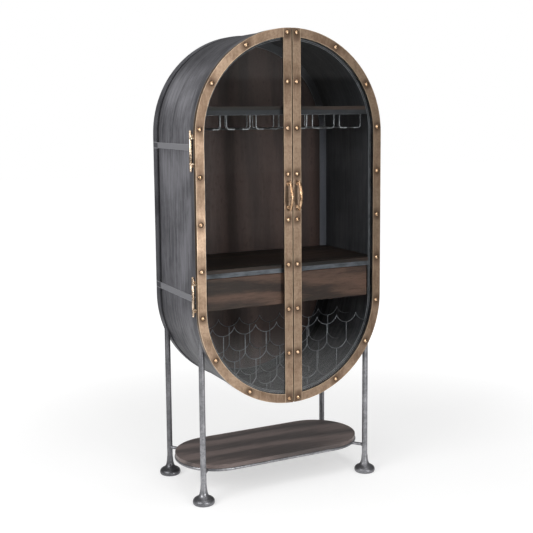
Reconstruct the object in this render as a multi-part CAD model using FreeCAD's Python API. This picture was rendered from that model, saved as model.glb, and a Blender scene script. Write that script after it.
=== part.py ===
import FreeCAD, Part
import math
import os

os.makedirs("parts", exist_ok=True)
V = FreeCAD.Vector

# Sizes in mm. The frame: +Z up from the floor, +X to the right, the doors face -Y.
# Every depth below is counted back from the faces of the doors.

# Case
case_width = 840.0
case_top = 1905.0
case_bottom = 385.0
case_depth = 463.0
sheet_thickness = 2.0
angle_iron_thickness = 4.0
front_rim_width = 25.0
front_flange_width = 42.0
rear_rim_width = 40.0
rear_flange_width = 36.0
rear_flange_inset = 20.0
tie_bar_height = 24.0
tie_bar_inset = 43.0
back_panel_thickness = 12.0
back_panel_clearance = 2.0

# Doors
door_thickness = 20.0
door_gap = 5.0
door_to_case = 2.0
frame_bar_width = 36.0
frame_bar_thickness = 4.0
glass_thickness = 4.0
glass_overlap = 13.0
glass_edge_clearance = 1.5
stop_thickness = 6.0
stop_clearance = 0.5
stop_sight_setback = 2.0
rivet_radius = 7.5
rivet_crown_radius = 4.0
rivet_height = 4.5
rivet_end_inset = 18.0
rivet_end_step = 192.0
rivet_arch_angles = (30.0, 60.0)
buffer_radius = 5.0
buffer_clearance = 0.5
buffer_offset = 60.0

# Handles
handle_reach = 40.0
handle_height = 114.0
handle_rise = 97.0
handle_foot_radius = 7.0
handle_foot_thickness = 3.0
handle_grip_width = 13.0
handle_grip_thickness = 9.0
handle_neck_width = 7.0

# Hinges
hinge_inset = 56.0
hinge_axis_out = 8.0
hinge_axis_depth = 30.0
barrel_radius = 5.5
case_barrel_length = 17.8
door_barrel_half_length = 52.2
knuckle_gap = 0.5
pin_radius = 2.5
pin_clearance = 0.05
finial_height = 9.8
finial_tip_radius = 2.6
hinge_arm_height = 6.0
hinge_arm_thickness = 7.0
hinge_plate_thickness = 2
hinge_plate_width = 20.0
hinge_plate_height = 15.0

# Shelves
board_thickness = 15.0
upper_shelf_drop = 307.0
mid_shelf_rise = 575.0
shelf_front_depth = 24.0
shelf_side_clearance = 1.0
angle_drop = 18.0
angle_leg = 26.0
cleat_width = 12.0
cleat_height = 10.0

# Stemware rack
rack_bar = 5.0
stem_channels = 6
stem_channel_margin = 10.0
stem_channel_spacing = 27.0
stem_slot_half_width = 20.0
stem_rack_height = 90.0
stem_front_depth = 94.0
stem_rear_clearance = 46.0
stem_bar_overhang = 8.0
stem_bend = 8.0
stem_bar_drop = 14.5

# Drawers
drawer_front_depth = 28.0
drawer_front_thickness = 18.0
drawer_front_height = 128.0
drawer_front_chamfer = 2.0
drawer_top_clearance = 2.0
drawer_gap = 3.0
drawer_side_margin = 50.0
drawer_front_overlap = 4.0
drawer_front_drop = 3.0
drawer_wall = 12.0
drawer_wall_height = 100.0
drawer_inner_side = 10.0
drawer_rear_clearance = 38.0
drawer_floor_rise = 6.0
drawer_floor_thickness = 6.0
finger_groove_radius = 9.0
finger_groove_length = 130.0
runner_thickness = 4.0
runner_clearance = 0.3
runner_width = 28.0
runner_lip_height = 26.0
runner_lip_inset = 40.0
runner_setback = 1.0
partition_thickness = 14.0
partition_setback = 6.0
centre_runner_width = 48.0

# Bottle rack
rack_end_margin = 36.0
scallop_depth = 34.0
scallop_runs = 5
row_pitch = 110.0
bottle_headroom = 81.0
row_bottles = (7, 6, 3)
bottle_front_depth = 60.0
bottle_rear_depth = 217.0

# Legs and lower shelf
leg_radius = 12.0
leg_inset = 35.0
front_leg_depth = 60.0
rear_leg_inset = 26.0
foot_radius = 45.0
foot_sole_radius = 40.0
foot_bulge_height = 14.0
foot_shoulder_radius = 33.0
foot_shoulder_height = 33.0
foot_waist_radius = 17.0
foot_waist_height = 48.0
foot_height = 78.0
foot_top_margin = 1.0
foot_flat_count = 12
lower_shelf_gap = 17.0
lower_board_thickness = 16.0
lower_board_bottom = 126.0
lower_ring_bar = 10.0
strut_bar = 10.0

# Hidden edges and small turned pieces are cut in straight runs.
hidden_arch_runs = 18
flange_arch_runs = 24
ring_arch_runs = 14
turned_flat_count = 8

# Worked out from the sizes above
case_radius = case_width / 2
upper_centre = case_top - case_radius
lower_centre = case_bottom + case_radius
middle_height = (case_top + case_bottom) / 2
rear_leg_depth = case_depth - rear_leg_inset
leg_x = case_radius - leg_inset
lower_shelf_edge = (rear_leg_depth - front_leg_depth - lower_shelf_gap) / 2
door_face = (handle_reach - rear_leg_depth - foot_radius) / 2
sheet_outer = case_radius - angle_iron_thickness
sheet_inner = sheet_outer - sheet_thickness
flange_inner = sheet_outer - front_flange_width
case_front = door_thickness + door_to_case
sheet_front = case_front + angle_iron_thickness
sheet_end = case_depth - rear_flange_inset
panel_front = sheet_end + angle_iron_thickness
upper_shelf_top = case_top - upper_shelf_drop
mid_shelf_top = case_bottom + mid_shelf_rise
door_inner_edge = door_gap / 2
stile_inner_edge = door_inner_edge + frame_bar_width
hinge_x = case_radius + hinge_axis_out
hinge_heights = (upper_centre - hinge_inset, lower_centre + hinge_inset)
drawer_front_top = mid_shelf_top - board_thickness - angle_drop - drawer_top_clearance
drawer_front_bottom = drawer_front_top - drawer_front_height
drawer_wall_bottom = drawer_front_bottom + drawer_front_drop
drawer_front_back = drawer_front_depth + drawer_front_thickness
rack_half_bar = rack_bar / 2
scallop_pitch = (case_width - 2 * rack_end_margin) / (row_bottles[0] + 1)
scallop_bend = (scallop_pitch ** 2 / 4 + scallop_depth ** 2) / (2 * scallop_depth)
EPS = 1.0


def y_at(depth):
    return door_face + depth


def save(shape, name):
    shape.exportStep("parts/" + name + ".step")


def box(x0, x1, depth0, depth1, z0, z1):
    return Part.makeBox(x1 - x0, depth1 - depth0, z1 - z0, V(x0, y_at(depth0), z0))


def mirrored(shape):
    return shape.mirror(V(0, 0, 0), V(1, 0, 0))


def both_sides(shapes):
    return Part.Compound(shapes + [mirrored(shape) for shape in shapes])


def right_of(x):
    return box(x, case_width, -case_depth, 2 * case_depth, 0, 2 * case_top)


def between_heights(z0, z1):
    return box(-case_width, case_width, -case_depth, 2 * case_depth, z0, z1)


def half_round(start, middle, end, runs):
    """A true half circle through three points, or the same in straight runs."""
    arc = Part.Arc(start, middle, end).toShape()
    if runs:
        return Part.makePolygon(arc.discretize(runs + 1)).Edges
    return [arc]


def long_round(points, extrusion, runs):
    """A slab with two straight sides and two half-round ends, from its six outline points."""
    a, b, c, d, e, f = points
    edges = half_round(a, b, c, runs) + [Part.makeLine(c, d)]
    edges += half_round(d, e, f, runs) + [Part.makeLine(f, a)]
    return Part.Face(Part.Wire(edges)).extrude(extrusion)


def capsule(radius, depth0, depth1, runs=0):
    """A slab with the case's outline, its arches about the case's own centres."""
    y = y_at(depth0)
    upper = [V(radius, y, upper_centre), V(0, y, upper_centre + radius), V(-radius, y, upper_centre)]
    lower = [V(-radius, y, lower_centre), V(0, y, lower_centre - radius), V(radius, y, lower_centre)]
    return long_round(upper + lower, V(0, depth1 - depth0, 0), runs)


def capsule_ring(outer, inner, depth0, depth1, inner_runs=0):
    return capsule(outer, depth0, depth1).cut(capsule(inner, depth0 - EPS, depth1 + EPS, inner_runs))


def ring_of(width, length, flats):
    """The corners of an oval in flats, level and about the Z axis."""
    turns = [2 * math.pi * step / flats for step in range(flats)]
    return [V(width / 2 * math.cos(turn), length / 2 * math.sin(turn), 0) for turn in turns]


def skin(rings):
    """A solid in flats lofted over rings of corners, closed by its first and last ring."""
    faces = [Part.Face(Part.makePolygon(ring + ring[:1])) for ring in (rings[0][::-1], rings[-1])]
    for ring, above in zip(rings, rings[1:]):
        for i in range(len(ring)):
            corners = [ring[i - 1], ring[i], above[i], above[i - 1]]
            for b, c in ((1, 2), (2, 3)):
                faces.append(Part.Face(Part.makePolygon([corners[0], corners[b], corners[c], corners[0]])))
    return Part.Solid(Part.Shell(faces)).removeSplitter()


def turned(levels, flats=turned_flat_count):
    """A turned piece about the Z axis in flats, through its radii and heights."""
    return skin([[p + V(0, 0, z) for p in ring_of(2 * r, 2 * r, flats)] for r, z in levels])


def toward_front(shape, x, depth, z):
    """Lays a piece turned about Z along -Y, with its foot at the given place."""
    shape.rotate(V(0, 0, 0), V(1, 0, 0), 90)
    shape.translate(V(x, y_at(depth), z))
    return shape


def build_shell():
    seam_top = upper_centre - tie_bar_inset
    seam_bottom = lower_centre + tie_bar_inset
    shell = capsule_ring(sheet_outer, sheet_inner, sheet_front, sheet_end)
    side = shell.common(between_heights(seam_bottom, seam_top)).common(right_of(0))
    save(shell.common(between_heights(seam_top, case_top)), "top_arch_sheet")
    save(shell.common(between_heights(case_bottom, seam_bottom)), "bottom_arch_sheet")
    save(side, "right_side_sheet")
    save(mirrored(side), "left_side_sheet")
    front_end = case_front + front_rim_width
    rear_start = case_depth - rear_rim_width
    front = capsule_ring(case_radius, sheet_outer, case_front, front_end)
    front = front.fuse(capsule_ring(case_radius, flange_inner, case_front, sheet_front, flange_arch_runs))
    save(front.removeSplitter(), "front_frame")
    rear = capsule_ring(case_radius, sheet_outer, rear_start, case_depth)
    rear_inner = sheet_outer - rear_flange_width
    rear = rear.fuse(capsule_ring(case_radius, rear_inner, sheet_end, panel_front, flange_arch_runs))
    save(rear.removeSplitter(), "rear_frame")
    bars = []
    for seam in (seam_top, seam_bottom):
        low = seam - tie_bar_height / 2
        bars.append(box(sheet_outer, case_radius, front_end, rear_start, low, low + tie_bar_height))
    save(both_sides(bars), "tie_bars")
    panel_radius = sheet_outer - back_panel_clearance
    panel_back = panel_front + back_panel_thickness
    save(capsule(panel_radius, panel_front, panel_back, hidden_arch_runs), "back_panel")


def build_shelf(top, name):
    bottom = top - board_thickness
    width = 2 * case_radius
    inside = capsule(sheet_inner, sheet_front, sheet_end)
    higher = max(0.0, top - upper_centre)
    half = math.sqrt(sheet_inner ** 2 - higher ** 2) - shelf_side_clearance
    opening = capsule(flange_inner, case_front, sheet_front + EPS, flange_arch_runs)
    board = box(-half, half, sheet_front, sheet_end, bottom, top)
    nosing = box(-width, width, shelf_front_depth, sheet_front, bottom, top).common(opening)
    save(board.fuse(nosing).removeSplitter(), name + "_board")
    face_end = shelf_front_depth + angle_iron_thickness
    face = box(-width, width, shelf_front_depth, face_end, bottom - angle_drop, bottom)
    seat_end = shelf_front_depth + angle_leg
    seat = box(-width, width, shelf_front_depth, seat_end, bottom - angle_iron_thickness, bottom)
    reach = capsule(flange_inner, case_front, seat_end + EPS, flange_arch_runs)
    save(face.fuse(seat).common(reach).removeSplitter(), name + "_angle")
    cleat = box(half - cleat_width, width, sheet_front, sheet_end, bottom - cleat_height, bottom)
    save(both_sides([cleat.common(inside)]), name + "_cleats")


def stem_hanger(drop_x, rail_x, top, rail):
    """A bar from the shelf down, round a bend and in to a rail, in the plane of its front face."""
    side = math.copysign(1.0, drop_x - rail_x)
    out = side * rack_half_bar
    low = rail - rack_half_bar
    high = rail + rack_half_bar
    inner_bend = stem_bend - (2 - math.sqrt(2)) * rack_bar
    corners = [
        V(drop_x + out, 0, top),
        V(drop_x + out, 0, low + stem_bend),
        V(drop_x + out - side * stem_bend, 0, low),
        V(rail_x + out, 0, low),
        V(rail_x + out, 0, high),
        V(drop_x - out - side * inner_bend, 0, high),
        V(drop_x - out, 0, high + inner_bend),
        V(drop_x - out, 0, top),
    ]
    return Part.Face(Part.makePolygon(corners + corners[:1])).extrude(V(0, rack_bar, 0))


def build_stemware_rack():
    top = upper_shelf_top - board_thickness
    rail = upper_shelf_top - stem_rack_height
    front = stem_front_depth - rack_half_bar
    rear = sheet_end - stem_rear_clearance - rack_half_bar
    pitch = case_width / stem_channels - stem_channel_margin
    width = pitch - stem_channel_spacing
    pieces = []
    for channel in range(stem_channels):
        centre = (channel - (stem_channels - 1) / 2) * pitch
        for side in (-1, 1):
            rail_x = centre + side * stem_slot_half_width
            low = rail - rack_half_bar
            left = rail_x - rack_half_bar
            pieces.append(box(left, left + rack_bar, front, rear + rack_bar, low, low + rack_bar))
            hanger = stem_hanger(centre + side * width / 2, rail_x, top, rail)
            for depth in (front, rear):
                copy = hanger.copy()
                copy.translate(V(0, y_at(depth), 0))
                pieces.append(copy)
    half = (stem_channels - 1) / 2 * pitch + width / 2 + stem_bar_overhang
    bar_top = top - stem_bar_drop
    for depth in (front + rack_bar, rear - rack_bar):
        pieces.append(box(-half, half, depth, depth + rack_bar, bar_top - rack_bar, bar_top))
    save(Part.Compound(pieces), "stemware_rack")


def scallop_curve(radius, reach, cradles):
    """Points along a row of cradles about x 0, each cradle's bend centred at the same height."""
    points = []
    for cradle in range(cradles):
        x = (cradle - (cradles - 1) / 2) * scallop_pitch
        for run in range(scallop_runs + 1):
            turn = reach * (2 * run / scallop_runs - 1)
            point = V(x + radius * math.sin(turn), 0, scallop_bend - radius * math.cos(turn))
            if not points or (point - points[-1]).Length > 0.001:
                points.append(point)
    return points


def scalloped_bar(cradles):
    """Square bar bent into a row of cradles, its troughs' centre line at z 0 and its peaks flat."""
    peak = scallop_depth + rack_half_bar
    inner = scallop_bend - rack_half_bar
    outer = scallop_bend + rack_half_bar
    upper = scallop_curve(inner, math.acos((scallop_bend - peak) / inner), cradles)
    lower = scallop_curve(outer, math.asin(scallop_pitch / 2 / outer), cradles)
    end = cradles * scallop_pitch / 2
    corners = upper + [V(end, 0, peak)] + lower[::-1] + [V(-end, 0, peak)]
    return Part.Face(Part.makePolygon(corners + corners[:1])).extrude(V(0, rack_bar, 0))


def build_bottle_rack():
    """Scalloped bars on posts: a post stands on the peak below it, or runs down to the shell."""
    inside = capsule(sheet_inner, sheet_front, sheet_end)
    front = bottle_front_depth - rack_half_bar
    half_pitch = scallop_pitch / 2
    outer = scallop_bend + rack_half_bar
    half_run = math.asin(half_pitch / outer) / scallop_runs
    underside = outer * math.cos(half_run) - scallop_bend
    pieces = []
    for row, bottles in enumerate(row_bottles):
        trough = drawer_front_bottom - bottle_headroom - row * row_pitch - scallop_depth
        last_row = row == len(row_bottles) - 1
        end = (bottles + 1) * half_pitch
        bar = scalloped_bar(bottles + 2)
        bar.translate(V(0, y_at(front), trough))
        posts = [(step - (bottles - 1) / 2) * scallop_pitch for step in range(bottles)]
        peaks_end = 0.0 if last_row else (row_bottles[row + 1] + 1) * half_pitch
        if last_row:
            bar = bar.common(right_of(-end - rack_half_bar)).cut(right_of(end + rack_half_bar))
            posts = [-end] + posts + [end]
        pieces.append(bar.common(inside))
        peak_below = trough - row_pitch + scallop_depth + rack_half_bar
        for x in posts:
            low = peak_below if abs(x) < peaks_end else case_bottom
            left = x - rack_half_bar
            post = box(left, left + rack_bar, front, front + rack_bar, low, trough - underside)
            pieces.append(post.common(inside))
    rack = Part.Compound(pieces)
    save(rack, "bottle_rack_front")
    rack.translate(V(0, bottle_rear_depth - bottle_front_depth, 0))
    save(rack, "bottle_rack_rear")


def build_drawer_bay():
    mid_bottom = mid_shelf_top - board_thickness
    top = drawer_wall_bottom - runner_clearance
    low = top - runner_thickness
    front = drawer_front_back + runner_setback
    half = partition_thickness / 2
    save(box(-half, half, front + partition_setback, panel_front, top, mid_bottom), "drawer_partition")
    half = centre_runner_width / 2
    save(box(-half, half, front, panel_front, low, top), "centre_runner")
    lip_x = case_radius - runner_lip_inset
    seat = box(lip_x - runner_width, lip_x, front, sheet_end, low, top)
    lip_end = lip_x + runner_thickness
    lip = box(lip_x, lip_end, sheet_front, sheet_end, low, top + runner_lip_height)
    save(both_sides([seat.fuse(lip).removeSplitter()]), "outer_runners")


def build_drawers():
    outer_edge = case_radius - drawer_side_margin
    inner_edge = drawer_gap / 2
    box_end = panel_front - drawer_rear_clearance
    low = drawer_wall_bottom
    high = low + drawer_wall_height
    front = (drawer_front_depth, drawer_front_back)
    panel = box(inner_edge, outer_edge, *front, drawer_front_bottom, drawer_front_top)
    face = y_at(drawer_front_depth)
    panel = panel.makeChamfer(drawer_front_chamfer, [e for e in panel.Edges if e.BoundBox.YMax < face + EPS])
    groove = turned([(finger_groove_radius, 0), (finger_groove_radius, finger_groove_length)])
    groove.rotate(V(0, 0, 0), V(0, 1, 0), 90)
    groove_x = (inner_edge + outer_edge - finger_groove_length) / 2
    groove.translate(V(groove_x, y_at(drawer_front_back - finger_groove_radius / 2), drawer_front_bottom))
    inner0 = drawer_inner_side + drawer_wall
    inner1 = outer_edge - drawer_front_overlap - drawer_wall
    walls = [
        box(drawer_inner_side, inner0, drawer_front_back, box_end, low, high),
        box(inner1, inner1 + drawer_wall, drawer_front_back, box_end, low, high),
    ]
    floor_low = low + drawer_floor_rise
    floor_top = floor_low + drawer_floor_thickness
    pieces = {
        "front": panel.cut(groove),
        "sides": Part.Compound(walls),
        "back": box(inner0, inner1, box_end - drawer_wall, box_end, floor_top, high),
        "bottom": box(inner0, inner1, drawer_front_back, box_end, floor_low, floor_top),
    }
    for piece, shape in pieces.items():
        save(shape, "right_drawer_" + piece)
        save(mirrored(shape), "left_drawer_" + piece)


def rivet_places():
    line = case_radius - frame_bar_width / 2
    stile_x = door_inner_edge + frame_bar_width / 2
    last = case_top - middle_height - rivet_end_inset
    pitch = (last - rivet_end_step) / 3
    places = []
    for step in range(-2, 3):
        z = middle_height + step * pitch
        beyond = max(0.0, z - upper_centre, lower_centre - z)
        places.append((math.sqrt(line ** 2 - beyond ** 2), z))
    for angle in rivet_arch_angles:
        across = line * math.sin(math.radians(angle))
        along = line * math.cos(math.radians(angle))
        places += [(across, upper_centre + along), (across, lower_centre - along)]
    for step in range(-3, 4):
        places.append((stile_x, middle_height + step * pitch))
    return places + [(stile_x, middle_height + last), (stile_x, middle_height - last)]


def handle_section(out, height, lean, width, thickness):
    """An oval across the grip, leaning from level by the given angle."""
    leaning = FreeCAD.Rotation(V(1, 0, 0), lean)
    place = V(0, y_at(-out), height)
    return [leaning.multVec(corner) + place for corner in ring_of(width, thickness, turned_flat_count)]


def build_handle():
    """A bowed grip on two round feet. Each station has its share of the reach and height, lean and swell."""
    crest = (handle_height - handle_neck_width) / 2
    grip = handle_reach - handle_grip_thickness / 2
    neck = handle_neck_width
    root = 0.907
    stations = []
    for out, height, lean, swell in (
        (handle_foot_thickness / grip, root, 90, 0.0),
        (0.225, 0.972, 115, 0.0),
        (0.394, 0.953, 160, 0.05),
        (0.521, 0.832, 152, 0.15),
        (0.761, 0.551, 154, 0.55),
        (0.944, 0.252, 166, 0.9),
        (1.0, 0.0, 180, 1.0),
    ):
        width = neck + swell * (handle_grip_width - neck)
        thickness = neck + swell * (handle_grip_thickness - neck)
        stations.append((out * grip, height * crest, lean, width, thickness))
    lower = [(out, -height, 360 - lean, w, t) for out, height, lean, w, t in reversed(stations[:-1])]
    bow = skin([handle_section(*station) for station in stations + lower])
    feet = []
    for side in (-1, 1):
        foot = turned([(handle_foot_radius, 0), (handle_foot_radius, handle_foot_thickness)])
        feet.append(toward_front(foot, 0, 0, side * root * crest))
    handle = bow.fuse(feet).removeSplitter()
    handle.translate(V(door_inner_edge + frame_bar_width / 2, 0, middle_height + handle_rise))
    return handle


def on_hinge_axis(shape, z):
    shape.translate(V(hinge_x, y_at(hinge_axis_depth), z))
    return shape


def door_knuckles():
    half = door_barrel_half_length
    bore_radius = (pin_radius + pin_clearance) / math.cos(math.pi / turned_flat_count)
    arm_front = door_thickness - hinge_arm_thickness
    arm_near = hinge_x - hinge_arm_thickness / 2
    arm_far = hinge_x + hinge_arm_thickness / 2
    knuckles = []
    for height in hinge_heights:
        knuckle = on_hinge_axis(turned([(barrel_radius, -half), (barrel_radius, half)]), height)
        for low in (height - half, height + half - hinge_arm_height):
            high = low + hinge_arm_height
            across = box(case_radius, arm_far, arm_front, door_thickness, low, high)
            along = box(arm_near, arm_far, arm_front, hinge_axis_depth, low, high)
            knuckle = knuckle.fuse([across, along])
        bore = on_hinge_axis(turned([(bore_radius, -half - EPS), (bore_radius, half + EPS)]), height)
        knuckles.append(knuckle.cut(bore).removeSplitter())
    return knuckles


def case_knuckles():
    """Each hinge's two end barrels with their finials, on arms and plates from the front frame."""
    near = door_barrel_half_length + knuckle_gap
    far = near + case_barrel_length
    levels = [
        (barrel_radius, near),
        (barrel_radius, far),
        (finial_tip_radius, far + finial_height),
    ]
    plate_low = near + (hinge_arm_height - hinge_plate_height) / 2
    plate_end = case_front + hinge_plate_width
    arm_front = hinge_axis_depth - hinge_arm_thickness / 2
    arm_end = arm_front + hinge_arm_thickness
    arm = box(case_radius, hinge_x, arm_front, arm_end, near, near + hinge_arm_height)
    plate_x = case_radius + hinge_plate_thickness
    plate = box(case_radius, plate_x, case_front, plate_end, plate_low, plate_low + hinge_plate_height)
    knuckle = on_hinge_axis(turned(levels), 0).fuse([arm, plate]).removeSplitter()
    knuckles = []
    for height in hinge_heights:
        for copy in (knuckle.copy(), knuckle.mirror(V(0, 0, 0), V(0, 0, 1))):
            copy.translate(V(0, 0, height))
            knuckles.append(copy)
    return knuckles


def hinge_pins():
    half = door_barrel_half_length + knuckle_gap
    levels = [(pin_radius, -half), (pin_radius, half)]
    return [on_hinge_axis(turned(levels), height) for height in hinge_heights]


def build_doors():
    bar_back = frame_bar_thickness
    bar_inner = case_radius - frame_bar_width
    flange_inside = case_radius - frame_bar_thickness
    flange_edge = door_inner_edge + frame_bar_thickness
    bow = capsule_ring(case_radius, bar_inner, 0, bar_back).common(right_of(stile_inner_edge))
    bow_flange = capsule_ring(case_radius, flange_inside, bar_back, door_thickness)
    bow = bow.fuse(bow_flange.common(right_of(flange_edge)))
    stile = box(door_inner_edge, stile_inner_edge, 0, bar_back, 0, 2 * case_top)
    stile = stile.fuse(box(door_inner_edge, flange_edge, bar_back, door_thickness, 0, 2 * case_top))
    stile = stile.common(capsule(case_radius, 0, door_thickness))
    inset = frame_bar_width - glass_overlap
    glass_back = bar_back + glass_thickness
    glass = capsule(case_radius - inset, bar_back, glass_back, hidden_arch_runs)
    glass = glass.common(right_of(door_inner_edge + inset))
    stop_back = glass_back + stop_thickness
    stop = capsule(flange_inside - stop_clearance, bar_back, stop_back, hidden_arch_runs)
    stop = stop.common(right_of(flange_edge + stop_clearance))
    inset -= glass_edge_clearance
    rebate = capsule(case_radius - inset, bar_back - EPS, glass_back, hidden_arch_runs)
    stop = stop.cut(rebate.common(right_of(door_inner_edge + inset)))
    sight = capsule(bar_inner + stop_sight_setback, glass_back - EPS, stop_back + EPS, hidden_arch_runs)
    stop = stop.cut(sight.common(right_of(stile_inner_edge - stop_sight_setback)))
    rivets = []
    for x, z in rivet_places():
        rivet = turned([(rivet_radius, 0), (rivet_crown_radius, rivet_height)])
        rivets.append(toward_front(rivet, x, 0, z))
    pieces = {
        "door_bow": bow.removeSplitter(),
        "door_stile": stile.removeSplitter(),
        "door_glass": glass,
        "door_glass_stop": stop,
        "door_rivets": Part.Compound(rivets),
        "door_handle": build_handle(),
        "door_knuckles": Part.Compound(door_knuckles()),
    }
    for piece, shape in pieces.items():
        save(shape, "right_" + piece)
        save(mirrored(shape), "left_" + piece)
    save(both_sides(case_knuckles()), "case_knuckles")
    save(both_sides(hinge_pins()), "hinge_pins")
    buffers = []
    buffer_line = (flange_inner + sheet_outer) / 2
    rise = math.sqrt(buffer_line ** 2 - buffer_offset ** 2)
    length = case_front - stop_back - buffer_clearance
    for z in (upper_centre + rise, lower_centre - rise):
        buffer = turned([(buffer_radius, 0), (buffer_radius, length)])
        buffers.append(toward_front(buffer, buffer_offset, case_front, z))
    save(both_sides(buffers), "door_buffers")


def build_foot():
    """A foot in flats: a pad with a rounded edge, and a hollow sweep up to the leg."""
    shoulder = V(foot_shoulder_radius, 0, foot_shoulder_height)
    pad = Part.Arc(V(foot_sole_radius, 0, 0), V(foot_radius, 0, foot_bulge_height), shoulder)
    waist = V(foot_waist_radius, 0, foot_waist_height)
    sweep = Part.Arc(shoulder, waist, V(leg_radius + foot_top_margin, 0, foot_height))
    points = pad.toShape().discretize(4) + sweep.toShape().discretize(4)[1:]
    return turned([(point.x, point.z) for point in points], foot_flat_count)


def lower_slab(radius, z0, z1, runs=0):
    """A level slab with the lower shelf's outline, its half-round ends about the shelf's own centres."""
    reach = case_radius - lower_shelf_edge
    y = y_at((front_leg_depth + rear_leg_depth) / 2)
    right = [V(reach, y - radius, z0), V(reach + radius, y, z0), V(reach, y + radius, z0)]
    left = [V(-reach, y + radius, z0), V(-reach - radius, y, z0), V(-reach, y - radius, z0)]
    return long_round(right + left, V(0, 0, z1 - z0), runs)


def build_strut(x, depth):
    """A square bar from a leg's axis towards the centre of the shelf's nearer end, as far as the ring."""
    middle = y_at((front_leg_depth + rear_leg_depth) / 2)
    end_x = math.copysign(case_radius - lower_shelf_edge, x)
    toward = V(end_x - x, middle - y_at(depth), 0)
    length = toward.Length - lower_shelf_edge + lower_ring_bar / 2
    strut = Part.makeBox(length, strut_bar, strut_bar, V(0, -strut_bar / 2, -strut_bar / 2))
    strut.rotate(V(0, 0, 0), V(0, 0, 1), math.degrees(math.atan2(toward.y, toward.x)))
    strut.translate(V(x, y_at(depth), lower_board_bottom - lower_ring_bar / 2))
    return strut


def build_stand():
    shell = capsule(sheet_outer, 0, case_depth)
    rims = capsule(case_radius, 0, case_front + front_rim_width)
    rims = rims.fuse(capsule(case_radius, case_depth - rear_rim_width, case_depth))
    ring_low = lower_board_bottom - lower_ring_bar
    ring_inner = lower_shelf_edge - lower_ring_bar
    ring = lower_slab(lower_shelf_edge, ring_low, lower_board_bottom, ring_arch_runs)
    ring = ring.cut(lower_slab(ring_inner, ring_low - EPS, lower_board_bottom + EPS, ring_arch_runs))
    feet = []
    struts = []
    for row, depth in (("front", front_leg_depth), ("rear", rear_leg_depth)):
        for side, x in (("left", -leg_x), ("right", leg_x)):
            place = V(x, y_at(depth), 0)
            leg = Part.makeCylinder(leg_radius, lower_centre - foot_height, place + V(0, 0, foot_height))
            leg = leg.cut(shell).cut(rims)
            save(leg, row + "_" + side + "_leg")
            foot = build_foot()
            foot.translate(place)
            feet.append(foot)
            struts.append(build_strut(x, depth).cut(leg).cut(ring))
    save(Part.Compound(feet), "feet")
    save(Part.Compound(struts), "lower_shelf_struts")
    save(ring, "lower_shelf_ring")
    board_top = lower_board_bottom + lower_board_thickness
    save(lower_slab(lower_shelf_edge, lower_board_bottom, board_top), "lower_shelf_board")


build_shell()
build_shelf(upper_shelf_top, "upper_shelf")
build_shelf(mid_shelf_top, "mid_shelf")
build_stemware_rack()
build_bottle_rack()
build_drawer_bay()
build_drawers()
build_doors()
build_stand()
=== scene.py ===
import math

import bpy
from mathutils import Matrix, Vector


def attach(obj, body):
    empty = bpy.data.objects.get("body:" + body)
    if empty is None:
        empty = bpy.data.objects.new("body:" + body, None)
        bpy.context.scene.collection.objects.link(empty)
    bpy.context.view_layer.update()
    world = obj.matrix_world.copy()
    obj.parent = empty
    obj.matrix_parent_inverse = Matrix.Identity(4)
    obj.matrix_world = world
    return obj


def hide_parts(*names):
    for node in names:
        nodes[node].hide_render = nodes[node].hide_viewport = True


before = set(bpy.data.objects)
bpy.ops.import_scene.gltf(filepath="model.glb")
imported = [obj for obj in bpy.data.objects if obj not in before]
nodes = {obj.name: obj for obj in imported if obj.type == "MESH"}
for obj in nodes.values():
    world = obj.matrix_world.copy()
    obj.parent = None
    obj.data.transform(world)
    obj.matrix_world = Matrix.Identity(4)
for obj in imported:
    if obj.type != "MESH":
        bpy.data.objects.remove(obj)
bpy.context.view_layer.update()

# Places in metres, in the frame of the solids.
DOOR_FACE = -0.221
MIDDLE = 1.145
ARCH_RISE = 0.34
RIVET_LINE = 0.402
RIVET_PITCH = 0.18333
HINGE_RISE = 0.284
HINGE_AXIS = 0.428
HINGE_DEPTH = 0.030
HANDLE_MIDDLE = 1.242
STILE_MIDDLE = 0.0205
STILE_EDGE = 0.0385
STEM_WIRE = 0.0024
BOTTLE_WIRE = 0.0018
ROW_BOTTLES = (7, 6, 3)
SHELL_INSIDE = 0.4145
SCREW_LINE = 0.398
LEG_X = 0.385
LEG_DEPTHS = (0.060, 0.437)
LOWER_BOARD_UNDERSIDE = 0.126


def at_depth(depth):
    return DOOR_FACE + depth


# Camera, at the angle of the photograph
def add_camera():
    yaw, pitch, roll = (math.radians(a) for a in (26.692, 7.184, 0.49))
    ahead = Vector((math.sin(yaw) * math.cos(pitch), math.cos(yaw) * math.cos(pitch), -math.sin(pitch)))
    level = Vector((math.cos(yaw), -math.sin(yaw), 0))
    drop = ahead.cross(level)
    right = level * math.cos(roll) + drop * math.sin(roll)
    down = drop * math.cos(roll) - level * math.sin(roll)
    lens = bpy.data.cameras.new("studio_camera")
    lens.lens = 64.769
    lens.sensor_width = 36.0
    lens.shift_y = -0.06
    camera = bpy.data.objects.new("studio_camera", lens)
    turn = Matrix((right, -down, -ahead)).transposed().to_4x4()
    camera.matrix_world = Matrix.Translation((-1.825, -3.612, 1.5694)) @ turn
    bpy.context.scene.collection.objects.link(camera)
    bpy.context.scene.camera = camera


# Shader building
def put(tree, kind, settings=None, **sockets):
    node = tree.nodes.new(kind)
    for name, value in (settings or {}).items():
        setattr(node, name, value)
    for name, value in sockets.items():
        key = int(name[1:]) if name[0] == "i" and name[1:].isdigit() else name.replace("_", " ")
        if isinstance(value, bpy.types.NodeSocket):
            tree.links.new(value, node.inputs[key])
        else:
            node.inputs[key].default_value = value
    return node


def maths(tree, operation, a, b=0.0, c=0.0):
    return put(tree, "ShaderNodeMath", {"operation": operation}, i0=a, i1=b, i2=c).outputs[0]


def blend_colour(tree, share, first, second, mode="MIX"):
    node = put(tree, "ShaderNodeMix", {"data_type": "RGBA", "blend_type": mode}, i0=share, i6=first, i7=second)
    return node.outputs[2]


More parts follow.
